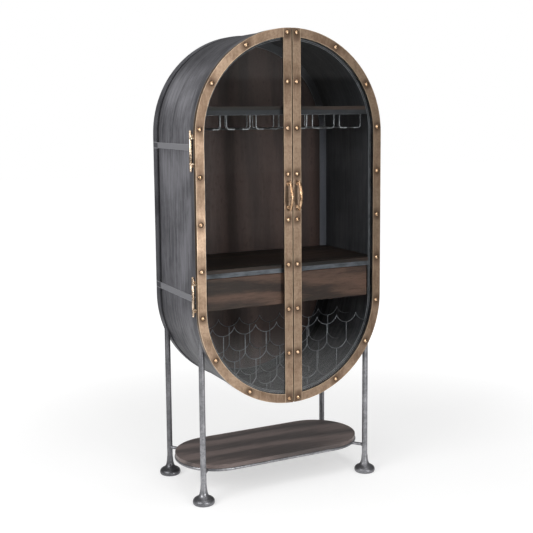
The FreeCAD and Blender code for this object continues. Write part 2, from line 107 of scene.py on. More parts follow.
def ramp(tree, value, low, high, bottom=0.0, top=1.0):
    node = put(tree, "ShaderNodeMapRange", {"clamp": True, "interpolation_type": "SMOOTHSTEP"}, Value=value)
    for name, number in (("From Min", low), ("From Max", high), ("To Min", bottom), ("To Max", top)):
        node.inputs[name].default_value = number
    return node.outputs[0]


def noise(tree, place, scale, detail=4.0, roughness=0.55, stretch=None):
    if stretch:
        place = put(tree, "ShaderNodeMapping", Vector=place, Scale=stretch).outputs[0]
    return put(tree, "ShaderNodeTexNoise", Vector=place, Scale=scale, Detail=detail, Roughness=roughness).outputs[0]


def mirrored_ray(tree, path):
    """1 for a ray that comes straight off a glossy surface, and 0 for one that has come through glass."""
    outside = maths(tree, "SUBTRACT", 1.0, path.outputs["Is Transmission Ray"])
    return maths(tree, "MULTIPLY", path.outputs["Is Glossy Ray"], outside)


def studio_rays(tree):
    """Which rays look at the studio itself, also through glass, and which see it mirrored in something."""
    path = tree.nodes.new("ShaderNodeLightPath")
    seen = maths(tree, "MAXIMUM", path.outputs["Is Camera Ray"], path.outputs["Is Transmission Ray"])
    bounced = maths(tree, "MINIMUM", path.outputs["Glossy Depth"], 1.0)
    seen = maths(tree, "MULTIPLY", seen, maths(tree, "SUBTRACT", 1.0, bounced))
    return seen, maths(tree, "MULTIPLY", path.outputs["Is Glossy Ray"], maths(tree, "SUBTRACT", 1.0, seen))


def effect(name, inputs, outputs):
    group = bpy.data.node_groups.new(name, "ShaderNodeTree")
    kinds = {"value": "NodeSocketFloat", "colour": "NodeSocketColor", "vector": "NodeSocketVector"}
    for label, kind, start in inputs:
        socket = group.interface.new_socket(name=label, in_out="INPUT", socket_type=kinds[kind])
        if start is not None:
            socket.default_value = start
    for label, kind in outputs:
        group.interface.new_socket(name=label, in_out="OUTPUT", socket_type=kinds[kind])
    return group, group.nodes.new("NodeGroupInput"), group.nodes.new("NodeGroupOutput")


def arch_distance_effect():
    """How far a point lies from the line between the two arch centres."""
    group, given, result = effect("arch_distance", [("Place", "vector", None)], [("Distance", "value")])
    split = put(group, "ShaderNodeSeparateXYZ", Vector=given.outputs["Place"])
    rise = maths(group, "ABSOLUTE", maths(group, "SUBTRACT", split.outputs["Z"], MIDDLE))
    rise = maths(group, "MAXIMUM", maths(group, "SUBTRACT", rise, ARCH_RISE), 0.0)
    square = maths(group, "MULTIPLY", split.outputs["X"], split.outputs["X"])
    square = maths(group, "MULTIPLY_ADD", rise, rise, square)
    group.links.new(maths(group, "SQRT", square), result.inputs["Distance"])
    return group


def rubbed_edge_effect():
    """A ragged mask along the place where a value passes a line."""
    inputs = [("Place", "vector", None), ("Value", "value", 0.0), ("Line", "value", 0.0), ("Width", "value", 0.002)]
    group, given, result = effect("rubbed_edge", inputs, [("Mask", "value")])
    gap = maths(group, "ABSOLUTE", maths(group, "SUBTRACT", given.outputs["Value"], given.outputs["Line"]))
    ragged = noise(group, given.outputs["Place"], 28.0, 4.0, 0.6)
    ragged = ramp(group, ragged, 0.3, 0.7, 0.5, 1.5)
    reach = maths(group, "MULTIPLY", given.outputs["Width"], ragged)
    share = maths(group, "SUBTRACT", 1.0, maths(group, "DIVIDE", gap, reach))
    group.links.new(ramp(group, share, 0.0, 1.0), result.inputs["Mask"])
    return group


def rivet_stain_effect():
    """Dark wax left round the rivets along the stiles, the sides and the arches."""
    group, given, result = effect("rivet_stain", [("Place", "vector", None)], [("Mask", "value")])

    def nearest_step(value, step):
        return maths(group, "SUBTRACT", maths(group, "FRACT", maths(group, "MULTIPLY_ADD", value, 1 / step, 0.5)), 0.5)

    def length(a, b):
        return maths(group, "SQRT", maths(group, "MULTIPLY_ADD", a, a, maths(group, "MULTIPLY", b, b)))

    split = put(group, "ShaderNodeSeparateXYZ", Vector=given.outputs["Place"])
    rise = maths(group, "SUBTRACT", split.outputs["Z"], MIDDLE)
    side = maths(group, "ABSOLUTE", split.outputs["X"])
    along = maths(group, "MULTIPLY", nearest_step(rise, RIVET_PITCH), RIVET_PITCH)
    stile = length(maths(group, "SUBTRACT", side, STILE_MIDDLE), along)
    flank = length(maths(group, "SUBTRACT", side, RIVET_LINE), along)
    above = maths(group, "SUBTRACT", maths(group, "ABSOLUTE", rise), ARCH_RISE)
    turn = nearest_step(maths(group, "ARCTAN2", side, above), math.radians(30))
    outward = maths(group, "SUBTRACT", length(side, above), RIVET_LINE)
    arch = length(outward, maths(group, "MULTIPLY", turn, RIVET_LINE * math.radians(30)))
    arch = maths(group, "ADD", arch, ramp(group, above, 0.08, 0.12, 1.0, 0.0))
    near = maths(group, "MINIMUM", maths(group, "MINIMUM", stile, flank), arch)
    ragged = noise(group, given.outputs["Place"], 45.0, 4.0, 0.6)
    near = maths(group, "MULTIPLY_ADD", ragged, 0.034, near)
    group.links.new(ramp(group, near, 0.024, 0.052, 1.0, 0.0), result.inputs["Mask"])
    return group


def brushed_effect():
    """Fine streaks along the surface and the bump that goes with them."""
    inputs = [("Place", "vector", None), ("Stretch", "vector", None)]
    group, given, result = effect("brushed", inputs, [("Streaks", "value"), ("Height", "value")])
    lie = put(group, "ShaderNodeVectorMath", {"operation": "MULTIPLY"},
              i0=given.outputs["Place"], i1=given.outputs["Stretch"])
    broad = noise(group, lie.outputs[0], 9.0, 6.0, 0.62)
    fine = noise(group, lie.outputs[0], 46.0, 4.0, 0.6)
    mixed = maths(group, "MULTIPLY_ADD", fine, 0.4, maths(group, "MULTIPLY", broad, 0.6))
    group.links.new(ramp(group, mixed, 0.3, 0.7), result.inputs["Streaks"])
    group.links.new(fine, result.inputs["Height"])
    return group


def mottle_effect():
    """Soft clouds with small blots, as wax and handling leave them."""
    inputs = [("Place", "vector", None), ("Cloud size", "value", 8.0), ("Blot size", "value", 60.0)]
    group, given, result = effect("mottle", inputs, [("Clouds", "value"), ("Blots", "value")])
    clouds = put(group, "ShaderNodeTexNoise", Vector=given.outputs["Place"], Scale=given.outputs["Cloud size"])
    clouds.inputs["Detail"].default_value = 5.0
    blots = put(group, "ShaderNodeTexNoise", Vector=given.outputs["Place"], Scale=given.outputs["Blot size"])
    blots.inputs["Detail"].default_value = 6.0
    blots.inputs["Roughness"].default_value = 0.7
    group.links.new(ramp(group, clouds.outputs[0], 0.35, 0.65), result.inputs["Clouds"])
    group.links.new(ramp(group, blots.outputs[0], 0.42, 0.62), result.inputs["Blots"])
    return group


def wood_effect():
    """Long grain with pores; the given place is already stretched along the grain."""
    inputs = [("Place", "vector", None), ("Dark", "colour", None), ("Light", "colour", None)]
    outputs = [("Colour", "colour"), ("Roughness", "value"), ("Height", "value")]
    group, given, result = effect("wood_grain", inputs, outputs)
    place = given.outputs["Place"]
    bend = noise(group, place, 1.4, 3.0)
    figure = put(group, "ShaderNodeTexWave", {"wave_type": "BANDS", "bands_direction": "DIAGONAL"},
                 Vector=place, Scale=0.3)
    for name, number in (("Distortion", 9.0), ("Detail", 4.0), ("Detail Scale", 1.3)):
        figure.inputs[name].default_value = number
    streaks = noise(group, place, 7.0, 8.0, 0.68)
    pores = noise(group, place, 30.0, 5.0, 0.6, (0.25, 1.0, 1.0))
    share = maths(group, "MULTIPLY_ADD", figure.outputs["Fac"], 0.3, maths(group, "MULTIPLY", streaks, 0.45))
    share = maths(group, "MULTIPLY_ADD", bend, 0.3, share)
    share = ramp(group, share, 0.32, 0.72)
    base = blend_colour(group, share, given.outputs["Dark"], given.outputs["Light"])
    pits = ramp(group, pores, 0.56, 0.68, 0.0, 0.75)
    group.links.new(blend_colour(group, pits, base, given.outputs["Dark"]), result.inputs["Colour"])
    group.links.new(ramp(group, pores, 0.3, 0.75, 0.42, 0.66), result.inputs["Roughness"])
    height = maths(group, "SUBTRACT", streaks, maths(group, "MULTIPLY", pits, 0.7))
    group.links.new(height, result.inputs["Height"])
    return group


EFFECTS = {
    "arch": arch_distance_effect(),
    "rubbed": rubbed_edge_effect(),
    "stain": rivet_stain_effect(),
    "brushed": brushed_effect(),
    "mottle": mottle_effect(),
    "wood": wood_effect(),
}


def use(tree, name, **sockets):
    return put(tree, "ShaderNodeGroup", {"node_tree": EFFECTS[name]}, **sockets)


def new_finish(name):
    finish = bpy.data.materials.new(name)
    finish.use_nodes = True
    tree = finish.node_tree
    surface = tree.nodes["Principled BSDF"]
    place = tree.nodes.new("ShaderNodeTexCoord").outputs["Object"]
    return finish, tree, surface, place


def bump(tree, surface, height, strength, distance=0.001):
    node = put(tree, "ShaderNodeBump", Height=height, Strength=strength, Distance=distance)
    tree.links.new(node.outputs[0], surface.inputs["Normal"])


def masks_along(tree, place, value, lines, width):
    """The rubbed edges at several lines of one value, as one mask."""
    total = None
    for line in lines:
        mask = use(tree, "rubbed", Place=place, Value=value, Line=line, Width=width).outputs[0]
        total = mask if total is None else maths(tree, "MAXIMUM", total, mask)
    return total


def streaks_and_clouds(tree, streaks, mottle):
    clouds = maths(tree, "MULTIPLY", mottle.outputs["Clouds"], 0.4)
    return maths(tree, "MULTIPLY_ADD", streaks.outputs["Streaks"], 0.6, clouds)


def waxed_iron_sheet():
    finish, tree, surface, place = new_finish("waxed_iron_sheet")
    split = put(tree, "ShaderNodeSeparateXYZ", Vector=place)
    streaks = use(tree, "brushed", Place=place, Stretch=(0.5, 7.0, 0.5))
    mottle = use(tree, "mottle", Place=place, **{"Cloud_size": 5.0, "Blot_size": 48.0})
    depth = split.outputs["Y"]
    # Painted light and shade: the sheet is painted darker towards the front and rear rims, towards the bottom and
    # towards the top.
    front = ramp(tree, depth, at_depth(0.048), at_depth(0.080), 0.4, 1.0)
    rear = ramp(tree, depth, at_depth(0.335), at_depth(0.425), 1.0, 0.4)
    low = ramp(tree, split.outputs["Z"], 0.42, 1.00, 0.12, 1.0)
    high = ramp(tree, split.outputs["Z"], 1.45, 1.84, 1.0, 0.25)
    painted_sheen = maths(tree, "MULTIPLY", maths(tree, "MULTIPLY", front, rear), maths(tree, "MULTIPLY", low, high))
    uneven = streaks_and_clouds(tree, streaks, mottle)
    # Painted highlight on the shoulder where the arch begins.
    rising = ramp(tree, split.outputs["Z"], 1.52, 1.64)
    shoulder_highlight = maths(tree, "MULTIPLY", rising, ramp(tree, split.outputs["Z"], 1.70, 1.79, 0.45, 0.0))
    painted_sheen = maths(tree, "MULTIPLY_ADD", maths(tree, "MULTIPLY", front, rear), shoulder_highlight, painted_sheen)
    share = maths(tree, "MULTIPLY", painted_sheen, maths(tree, "MULTIPLY_ADD", uneven, 1.2, 0.03))
    dark = blend_colour(tree, mottle.outputs["Blots"], (0.022, 0.022, 0.026, 1), (0.042, 0.042, 0.048, 1))
    colour = blend_colour(tree, share, dark, (0.228, 0.226, 0.246, 1))
    # Painted shade: a near-black band in the gap beside each rim.
    rim_gap_shade = maths(tree, "MAXIMUM", ramp(tree, depth, at_depth(0.049), at_depth(0.060), 1.0, 0.0),
                 ramp(tree, depth, at_depth(0.402), at_depth(0.409), 0.0, 1.0))
    colour = blend_colour(tree, rim_gap_shade, colour, (0.008, 0.008, 0.010, 1))
    inner = ramp(tree, use(tree, "arch", Place=place).outputs[0], 0.4147, 0.4153, 1.0, 0.0)
    shaded = maths(tree, "MULTIPLY", inner, ramp(tree, split.outputs["Z"], 0.60, 0.90, 0.0, 0.8))
    colour = blend_colour(tree, shaded, colour, (0.034, 0.034, 0.039, 1))
    scratch = noise(tree, place, 30.0, 3.0, 0.5, (1.6, 9.0, 1.2))
    scratch = ramp(tree, scratch, 0.69, 0.73, 0.0, 0.35)
    tree.links.new(blend_colour(tree, scratch, colour, (0.32, 0.32, 0.33, 1)), surface.inputs["Base Color"])
    tree.links.new(ramp(tree, uneven, 0.2, 0.8, 0.62, 0.42), surface.inputs["Roughness"])
    surface.inputs["Metallic"].default_value = 0.2
    bump(tree, surface, streaks.outputs["Height"], 0.06)
    return finish


def waxed_iron_bar():
    finish, tree, surface, place = new_finish("waxed_iron_bar")
    split = put(tree, "ShaderNodeSeparateXYZ", Vector=place)
    streaks = use(tree, "brushed", Place=place, Stretch=(0.8, 5.0, 0.8))
    mottle = use(tree, "mottle", Place=place, **{"Cloud_size": 9.0, "Blot_size": 80.0})
    lines = [at_depth(d) for d in (0.022, 0.463)]
    edges = masks_along(tree, place, split.outputs["Y"], lines, 0.0028)
    ties = masks_along(tree, place, split.outputs["Z"], (1.430, 1.454, 0.836, 0.860), 0.0025)
    around = use(tree, "arch", Place=place).outputs[0]
    inner = masks_along(tree, place, around, (0.374, 0.380), 0.0016)
    outside = ramp(tree, around, 0.411, 0.415)
    worn = maths(tree, "MULTIPLY", maths(tree, "MAXIMUM", edges, ties), outside)
    base = blend_colour(tree, mottle.outputs["Clouds"], (0.055, 0.055, 0.062, 1), (0.110, 0.110, 0.122, 1))
    base = blend_colour(tree, maths(tree, "MULTIPLY", streaks.outputs["Streaks"], 0.4), base, (0.150, 0.150, 0.165, 1))
    # Painted light: the bars lighter between the rims, with painted shade towards them.
    across = maths(tree, "MULTIPLY", ramp(tree, split.outputs["Y"], at_depth(0.048), at_depth(0.060)),
                   ramp(tree, split.outputs["Y"], at_depth(0.400), at_depth(0.420), 1.0, 0.0))
    base = blend_colour(tree, maths(tree, "MULTIPLY", across, 0.9), base, (0.290, 0.290, 0.310, 1))
    # Painted shade on the inner faces, and a painted band of light on the inside of the rear flange at mid height.
    inside = blend_colour(tree, mottle.outputs["Clouds"], (0.010, 0.010, 0.012, 1), (0.026, 0.026, 0.030, 1))
    rear = ramp(tree, split.outputs["Y"], at_depth(0.30), at_depth(0.40))
    rear = maths(tree, "MULTIPLY", rear, ramp(tree, split.outputs["Z"], 0.88, 0.96))
    rear = maths(tree, "MULTIPLY", rear, ramp(tree, split.outputs["Z"], 1.50, 1.60, 1.0, 0.15))
    inside = blend_colour(tree, rear, inside, (0.26, 0.26, 0.305, 1))
    colour = blend_colour(tree, outside, inside, base)
    # Painted shadow on the front rim beside each hinge.
    rise = maths(tree, "ABSOLUTE", maths(tree, "SUBTRACT", split.outputs["Z"], MIDDLE))
    hinge_shadow = ramp(tree, maths(tree, "ABSOLUTE", maths(tree, "SUBTRACT", rise, HINGE_RISE)), 0.046, 0.058, 1.0, 0.0)
    hinge_shadow = maths(tree, "MULTIPLY", hinge_shadow, ramp(tree, split.outputs["Y"], at_depth(0.047), at_depth(0.051), 1.0, 0.0))
    colour = blend_colour(tree, hinge_shadow, colour, (0.006, 0.006, 0.007, 1))
    colour = blend_colour(tree, maths(tree, "MULTIPLY", worn, 0.8), colour, (0.42, 0.42, 0.44, 1))
    # Light lines on the inner edges of the frame: rubbed wear, and a painted highlight of those edges.
    colour = blend_colour(tree, maths(tree, "MULTIPLY", inner, 0.8), colour, (0.24, 0.24, 0.26, 1))
    tree.links.new(colour, surface.inputs["Base Color"])
    tree.links.new(ramp(tree, worn, 0.0, 1.0, 0.5, 0.36), surface.inputs["Roughness"])
    surface.inputs["Metallic"].default_value = 0.35
    bump(tree, surface, mottle.outputs["Blots"], 0.08)
    return finish


def rubbed_angle_iron():
    """The shelf angles: dark iron with bluish streaks and clouds, much fewer of them on the upper shelf's angle."""
    finish, tree, surface, place = new_finish("rubbed_angle_iron")
    split = put(tree, "ShaderNodeSeparateXYZ", Vector=place)
    streaks = use(tree, "brushed", Place=place, Stretch=(0.7, 6.0, 6.0))
    mottle = use(tree, "mottle", Place=place, **{"Cloud_size": 14.0, "Blot_size": 90.0})
    middle_shelf = ramp(tree, split.outputs["Z"], 1.2, 1.3, 1.0, 0.0)
    bare = streaks_and_clouds(tree, streaks, mottle)
    bare = maths(tree, "MULTIPLY", maths(tree, "MULTIPLY_ADD", middle_shelf, 0.9, 0.1), bare)
    colour = blend_colour(tree, bare, (0.016, 0.016, 0.019, 1), (0.165, 0.172, 0.198, 1))
    tree.links.new(colour, surface.inputs["Base Color"])
    tree.links.new(ramp(tree, bare, 0.0, 1.0, 0.55, 0.35), surface.inputs["Roughness"])
    surface.inputs["Metallic"].default_value = 0.4
    bump(tree, surface, mottle.outputs["Blots"], 0.06)
    return finish


def mottled_leg_iron():
    finish, tree, surface, place = new_finish("mottled_leg_iron")
    split = put(tree, "ShaderNodeSeparateXYZ", Vector=place)
    mottle = use(tree, "mottle", Place=place, **{"Cloud_size": 16.0, "Blot_size": 95.0})
    streaks = use(tree, "brushed", Place=place, Stretch=(5.0, 5.0, 0.5))
    base = blend_colour(tree, mottle.outputs["Clouds"], (0.215, 0.215, 0.227, 1), (0.36, 0.36, 0.378, 1))
    base = blend_colour(tree, maths(tree, "MULTIPLY", streaks.outputs["Streaks"], 0.4), base, (0.40, 0.40, 0.42, 1))
    base = blend_colour(tree, maths(tree, "MULTIPLY", mottle.outputs["Blots"], 0.35), base, (0.09, 0.089, 0.095, 1))
    foot = ramp(tree, split.outputs["Z"], 0.03, 0.09, 0.35, 0.0)
    base = blend_colour(tree, foot, base, (0.060, 0.060, 0.067, 1))
    # Painted shade: the rear legs darker.
    rear = ramp(tree, split.outputs["Y"], at_depth(0.20), at_depth(0.40), 0.0, 0.4)
    tree.links.new(blend_colour(tree, rear, base, (0.055, 0.055, 0.061, 1)), surface.inputs["Base Color"])
    tree.links.new(ramp(tree, mottle.outputs["Blots"], 0.0, 1.0, 0.36, 0.52), surface.inputs["Roughness"])
    surface.inputs["Metallic"].default_value = 0.92
    bump(tree, surface, mottle.outputs["Blots"], 0.08)
    return finish


def dull_steel_wire(name, dark, light):
    finish, tree, surface, place = new_finish(name)
    mottle = use(tree, "mottle", Place=place, **{"Cloud_size": 30.0, "Blot_size": 160.0})
    base = blend_colour(tree, mottle.outputs["Clouds"], dark, light)
    colour = blend_colour(tree, maths(tree, "MULTIPLY", mottle.outputs["Blots"], 0.5), base, (0.10, 0.10, 0.11, 1))
    tree.links.new(colour, surface.inputs["Base Color"])
    tree.links.new(ramp(tree, mottle.outputs["Blots"], 0.0, 1.0, 0.36, 0.55), surface.inputs["Roughness"])
    surface.inputs["Metallic"].default_value = 0.5
    bump(tree, surface, mottle.outputs["Blots"], 0.1)
    return finish


def aged_brass():
    finish, tree, surface, place = new_finish("aged_brass")
    split = put(tree, "ShaderNodeSeparateXYZ", Vector=place)
    streaks = use(tree, "brushed", Place=place, Stretch=(3.5, 3.5, 0.8))
    mottle = use(tree, "mottle", Place=place, **{"Cloud_size": 7.0, "Blot_size": 90.0})
    around = use(tree, "arch", Place=place).outputs[0]
    side = maths(tree, "ABSOLUTE", split.outputs["X"])
    on_bow = ramp(tree, side, STILE_EDGE, STILE_EDGE + 0.001)
    rims_worn_and_lit = masks_along(tree, place, around, (0.384, 0.420), 0.0026)
    stiles = masks_along(tree, place, side, (0.0025, STILE_EDGE), 0.0022)
    worn = maths(tree, "MAXIMUM", maths(tree, "MULTIPLY", rims_worn_and_lit, on_bow), stiles)
    base = blend_colour(tree, mottle.outputs["Clouds"], (0.160, 0.102, 0.066, 1), (0.395, 0.280, 0.194, 1))
    base = blend_colour(tree, maths(tree, "MULTIPLY", streaks.outputs["Streaks"], 0.4), base, (0.57, 0.425, 0.305, 1))
    base = blend_colour(tree, maths(tree, "MULTIPLY", mottle.outputs["Blots"], 0.35), base, (0.15, 0.088, 0.052, 1))
    stain = use(tree, "stain", Place=place).outputs[0]
    base = blend_colour(tree, maths(tree, "MULTIPLY", stain, 0.8), base, (0.105, 0.064, 0.042, 1))
    # Pale rubbed edges: real wear, and on the bow's rims also a painted highlight of the edge.
    colour = blend_colour(tree, maths(tree, "MULTIPLY", worn, 0.6), base, (0.80, 0.62, 0.44, 1))
    # Painted shade on the return flange along the outer edge.
    return_flange_shade = ramp(tree, split.outputs["Y"], at_depth(0.0015), at_depth(0.0035), 0.0, 0.75)
    colour = blend_colour(tree, return_flange_shade, colour, (0.085, 0.052, 0.036, 1))
    tree.links.new(colour, surface.inputs["Base Color"])
    rough = ramp(tree, mottle.outputs["Clouds"], 0.0, 1.0, 0.46, 0.34)
    tree.links.new(rough, surface.inputs["Roughness"])
    surface.inputs["Metallic"].default_value = 0.85
    bump(tree, surface, streaks.outputs["Height"], 0.07)
    return finish


def cast_brass(name, brown, bright, blots):
    """Handles and hinges: brown and bright brass in clouds, with painted shade on the faces turned towards the back."""
    finish, tree, surface, place = new_finish(name)
    mottle = use(tree, "mottle", Place=place, **{"Cloud_size": 40.0, "Blot_size": 150.0})
    base = blend_colour(tree, mottle.outputs["Clouds"], brown, bright)
    colour = blend_colour(tree, maths(tree, "MULTIPLY", mottle.outputs["Blots"], blots), base, (0.17, 0.10, 0.055, 1))
    facing = put(tree, "ShaderNodeSeparateXYZ", Vector=tree.nodes.new("ShaderNodeNewGeometry").outputs["Normal"])
    # Painted shade on faces turned towards the back.
    back_facing_shade = ramp(tree, facing.outputs["Y"], -0.25, 0.35, 0.0, 0.85)
    colour = blend_colour(tree, back_facing_shade, colour, (0.050, 0.028, 0.018, 1))
    tree.links.new(colour, surface.inputs["Base Color"])
    tree.links.new(ramp(tree, mottle.outputs["Blots"], 0.0, 1.0, 0.24, 0.44), surface.inputs["Roughness"])
    surface.inputs["Metallic"].default_value = 0.95
    bump(tree, surface, mottle.outputs["Blots"], 0.08)
    return finish


def rivet_brass():
    finish, tree, surface, place = new_finish("rivet_brass")
    mottle = use(tree, "mottle", Place=place, **{"Cloud_size": 60.0, "Blot_size": 260.0})
    base = blend_colour(tree, mottle.outputs["Clouds"], (0.58, 0.37, 0.21, 1), (0.80, 0.56, 0.36, 1))
    colour = blend_colour(tree, maths(tree, "MULTIPLY", mottle.outputs["Blots"], 0.35), base, (0.17, 0.10, 0.065, 1))
    tree.links.new(colour, surface.inputs["Base Color"])
    tree.links.new(ramp(tree, mottle.outputs["Blots"], 0.0, 1.0, 0.2, 0.36), surface.inputs["Roughness"])
    surface.inputs["Metallic"].default_value = 1.0
    bump(tree, surface, mottle.outputs["Blots"], 0.06)
    return finish


def rivet_patina():
    finish, tree, surface, place = new_finish("rivet_patina")
    mottle = use(tree, "mottle", Place=place, **{"Cloud_size": 90.0, "Blot_size": 300.0})
    colour = blend_colour(tree, mottle.outputs["Clouds"], (0.045, 0.027, 0.018, 1), (0.135, 0.083, 0.05, 1))
    tree.links.new(colour, surface.inputs["Base Color"])
    tree.links.new(ramp(tree, mottle.outputs["Blots"], 0.0, 1.0, 0.5, 0.68), surface.inputs["Roughness"])
    surface.inputs["Metallic"].default_value = 0.3
    surface.inputs["Specular IOR Level"].default_value = 0.2
    bump(tree, surface, mottle.outputs["Blots"], 0.12)
    return finish


def wood(name, stretch, dark, light, coat=0.0):
    finish, tree, surface, place = new_finish(name)
    lie = put(tree, "ShaderNodeMapping", Vector=place, Scale=stretch).outputs[0]
    grain = use(tree, "wood", Place=lie, Dark=dark, Light=light)
    tree.links.new(grain.outputs["Colour"], surface.inputs["Base Color"])
    tree.links.new(grain.outputs["Roughness"], surface.inputs["Roughness"])
    surface.inputs["Coat Weight"].default_value = coat
    surface.inputs["Coat Roughness"].default_value = 0.35
    surface.inputs["Specular IOR Level"].default_value = 0.35
    bump(tree, surface, grain.outputs["Height"], 0.18)
    return finish


def clear_glass():
    finish, tree, surface, place = new_finish("clear_glass")
    haze = noise(tree, place, 6.0, 5.0, 0.6)
    tint = blend_colour(tree, ramp(tree, haze, 0.35, 0.7), (0.95, 0.965, 0.962, 1), (0.90, 0.925, 0.92, 1))
    tree.links.new(tint, surface.inputs["Base Color"])
    surface.inputs["Transmission Weight"].default_value = 1.0
    surface.inputs["IOR"].default_value = 1.45
    surface.inputs["Roughness"].default_value = 0.0
    through = put(tree, "ShaderNodeBsdfTransparent", Color=(0.95, 0.97, 0.965, 1))
    path = tree.nodes.new("ShaderNodeLightPath")
    easy = maths(tree, "MAXIMUM", path.outputs["Is Shadow Ray"], path.outputs["Is Diffuse Ray"])
    in_pane = maths(tree, "MODULO", path.outputs["Transmission Depth"], 2.0)
    outside = maths(tree, "SUBTRACT", 1.0, in_pane)
    easy = maths(tree, "MAXIMUM", easy, maths(tree, "MULTIPLY", mirrored_ray(tree, path), outside))
    mix = put(tree, "ShaderNodeMixShader", i0=easy, i1=surface.outputs[0], i2=through.outputs[0])
    tree.links.new(mix.outputs[0], tree.nodes["Material Output"].inputs["Surface"])
    return finish


def soft_rubber():
    finish, tree, surface, place = new_finish("soft_rubber")
    mottle = use(tree, "mottle", Place=place, **{"Cloud_size": 120.0, "Blot_size": 500.0})
    colour = blend_colour(tree, mottle.outputs["Clouds"], (0.016, 0.016, 0.017, 1), (0.035, 0.034, 0.034, 1))
    tree.links.new(colour, surface.inputs["Base Color"])
    tree.links.new(ramp(tree, mottle.outputs["Blots"], 0.0, 1.0, 0.7, 0.85), surface.inputs["Roughness"])
    bump(tree, surface, mottle.outputs["Blots"], 0.1)
    return finish


SHEET = waxed_iron_sheet()
BAR = waxed_iron_bar()
ANGLE = rubbed_angle_iron()
LEG = mottled_leg_iron()
STEM_STEEL = dull_steel_wire("stemware_wire", (0.36, 0.36, 0.38, 1), (0.62, 0.62, 0.65, 1))
BOTTLE_STEEL = dull_steel_wire("bottle_rack_wire", (0.13, 0.13, 0.145, 1), (0.27, 0.27, 0.29, 1))
BRASS = aged_brass()
HANDLE = cast_brass("handle_brass", (0.46, 0.28, 0.16, 1), (0.78, 0.53, 0.33, 1), 0.2)
HINGE = cast_brass("hinge_brass", (0.70, 0.53, 0.38, 1), (0.92, 0.75, 0.57, 1), 0.1)
RIVET = rivet_brass()
PATINA = rivet_patina()
PANEL_WOOD = wood("panel_wood", (14.0, 14.0, 1.3), (0.050, 0.028, 0.024, 1), (0.086, 0.049, 0.042, 1))
SHELF_WOOD = wood("shelf_wood", (1.3, 14.0, 14.0), (0.006, 0.004, 0.003, 1), (0.036, 0.019, 0.013, 1))
DRAWER_SIDE_WOOD = wood("drawer_side_wood", (16.0, 2.4, 16.0), (0.026, 0.014, 0.010, 1), (0.110, 0.058, 0.041, 1))
DRAWER_WOOD = wood("drawer_wood", (2.4, 16.0, 16.0), (0.026, 0.014, 0.010, 1), (0.120, 0.063, 0.044, 1), 0.05)
LOWER_WOOD = wood("lower_shelf_wood", (1.4, 12.0, 12.0), (0.062, 0.050, 0.047, 1), (0.176, 0.134, 0.123, 1), 0.35)
GLASS = clear_glass()
RUBBER = soft_rubber()


def dress(names, finish):
    for name in names:
        mesh = nodes[name].data
        mesh.materials.clear()
        mesh.materials.append(finish)


# Modelling tools
def clear_selection():
    if bpy.context.object and bpy.context.object.mode != "OBJECT":
        bpy.ops.object.mode_set(mode="OBJECT")
    bpy.ops.object.select_all(action="DESELECT")


def tidy_mesh(smooth=40.0):
    bpy.ops.mesh.select_all(action="SELECT")
    bpy.ops.mesh.remove_doubles(threshold=0.00002)
    bpy.ops.mesh.normals_make_consistent(inside=False)
    bpy.ops.object.mode_set(mode="OBJECT")
    bpy.ops.object.transform_apply(location=True, rotation=True, scale=True)
    bpy.ops.object.shade_smooth_by_angle(angle=math.radians(smooth))
    return bpy.context.object


def start_ring(radius, place, axis, sides):
    """A ring of corners across the given axis, in edit mode with all of it selected."""
    clear_selection()
    tilt = {"X": (0, math.pi / 2, 0), "Y": (math.pi / 2, 0, 0), "Z": (0, 0, 0)}[axis]
    bpy.ops.mesh.primitive_circle_add(vertices=sides, radius=radius, location=place, rotation=tilt)
    bpy.ops.object.transform_apply(location=True, rotation=True, scale=True)
    bpy.ops.object.mode_set(mode="EDIT")
    bpy.ops.mesh.select_all(action="SELECT")


def pull(step):
    bpy.ops.mesh.extrude_region_move(TRANSFORM_OT_translate={"value": step})


def turn_piece(levels, place, axis="Z", sides=24, smooth=40.0):
    """A turned piece: a ring pulled along its axis from level to level and sized at each one."""
    along = {"Y": Vector((0, -1, 0)), "Z": Vector((0, 0, 1))}[axis]
    place = Vector(place)
    radius, height = levels[0]
    start_ring(radius, place + along * height, axis, sides)
    bpy.ops.mesh.edge_face_add()
    for wider, higher in levels[1:]:
        pull(along * (higher - height))
        size = wider / radius
        factors = [1.0 if along[i] else size for i in range(3)]
        centre = place + along * higher
        bpy.ops.transform.resize(value=factors, center_override=centre)
        radius, height = wider, higher
    return tidy_mesh(smooth)


def bent_wire(radius, start, axis, moves, sides=8):
    """Round bar drawn out from a ring: straight runs, and bends about a centre."""
    start_ring(radius, start, axis, sides)
    bpy.ops.mesh.edge_face_add()
    for move in moves:
        if len(move) == 1:
            pull(Vector(move[0]))
        else:
            centre, about, degrees, steps = move
            bpy.ops.mesh.spin(steps=steps, angle=math.radians(-degrees), center=centre, axis=about)
    return tidy_mesh(50.0)


def bevelled_block(low, high, rounding):
    clear_selection()
    low, high = Vector(low), Vector(high)
    bpy.ops.mesh.primitive_cube_add(size=1.0, location=(low + high) / 2)
    bpy.context.object.scale = high - low
    bpy.ops.object.transform_apply(location=True, rotation=True, scale=True)
    bpy.ops.object.mode_set(mode="EDIT")
    bpy.ops.mesh.select_all(action="SELECT")
    bpy.ops.mesh.bevel(offset=rounding, segments=2, affect="EDGES")
    return tidy_mesh(35.0)


def copies(piece, places):
    """The piece once at every place, each copy with its own mesh."""
    made = []
    for step in places:
        copy = piece.copy()
        copy.data = piece.data.copy()
        copy.data.transform(Matrix.Translation(step))
        bpy.context.scene.collection.objects.link(copy)
        made.append(copy)
    bpy.data.objects.remove(piece)
    return made


def mirror_across(piece):
    """A copy on the other side of x 0."""
    copy = piece.copy()
    copy.data = piece.data.copy()
    copy.data.transform(Matrix.Scale(-1, 4, (1, 0, 0)))
    copy.data.flip_normals()
    bpy.context.scene.collection.objects.link(copy)
    return copy


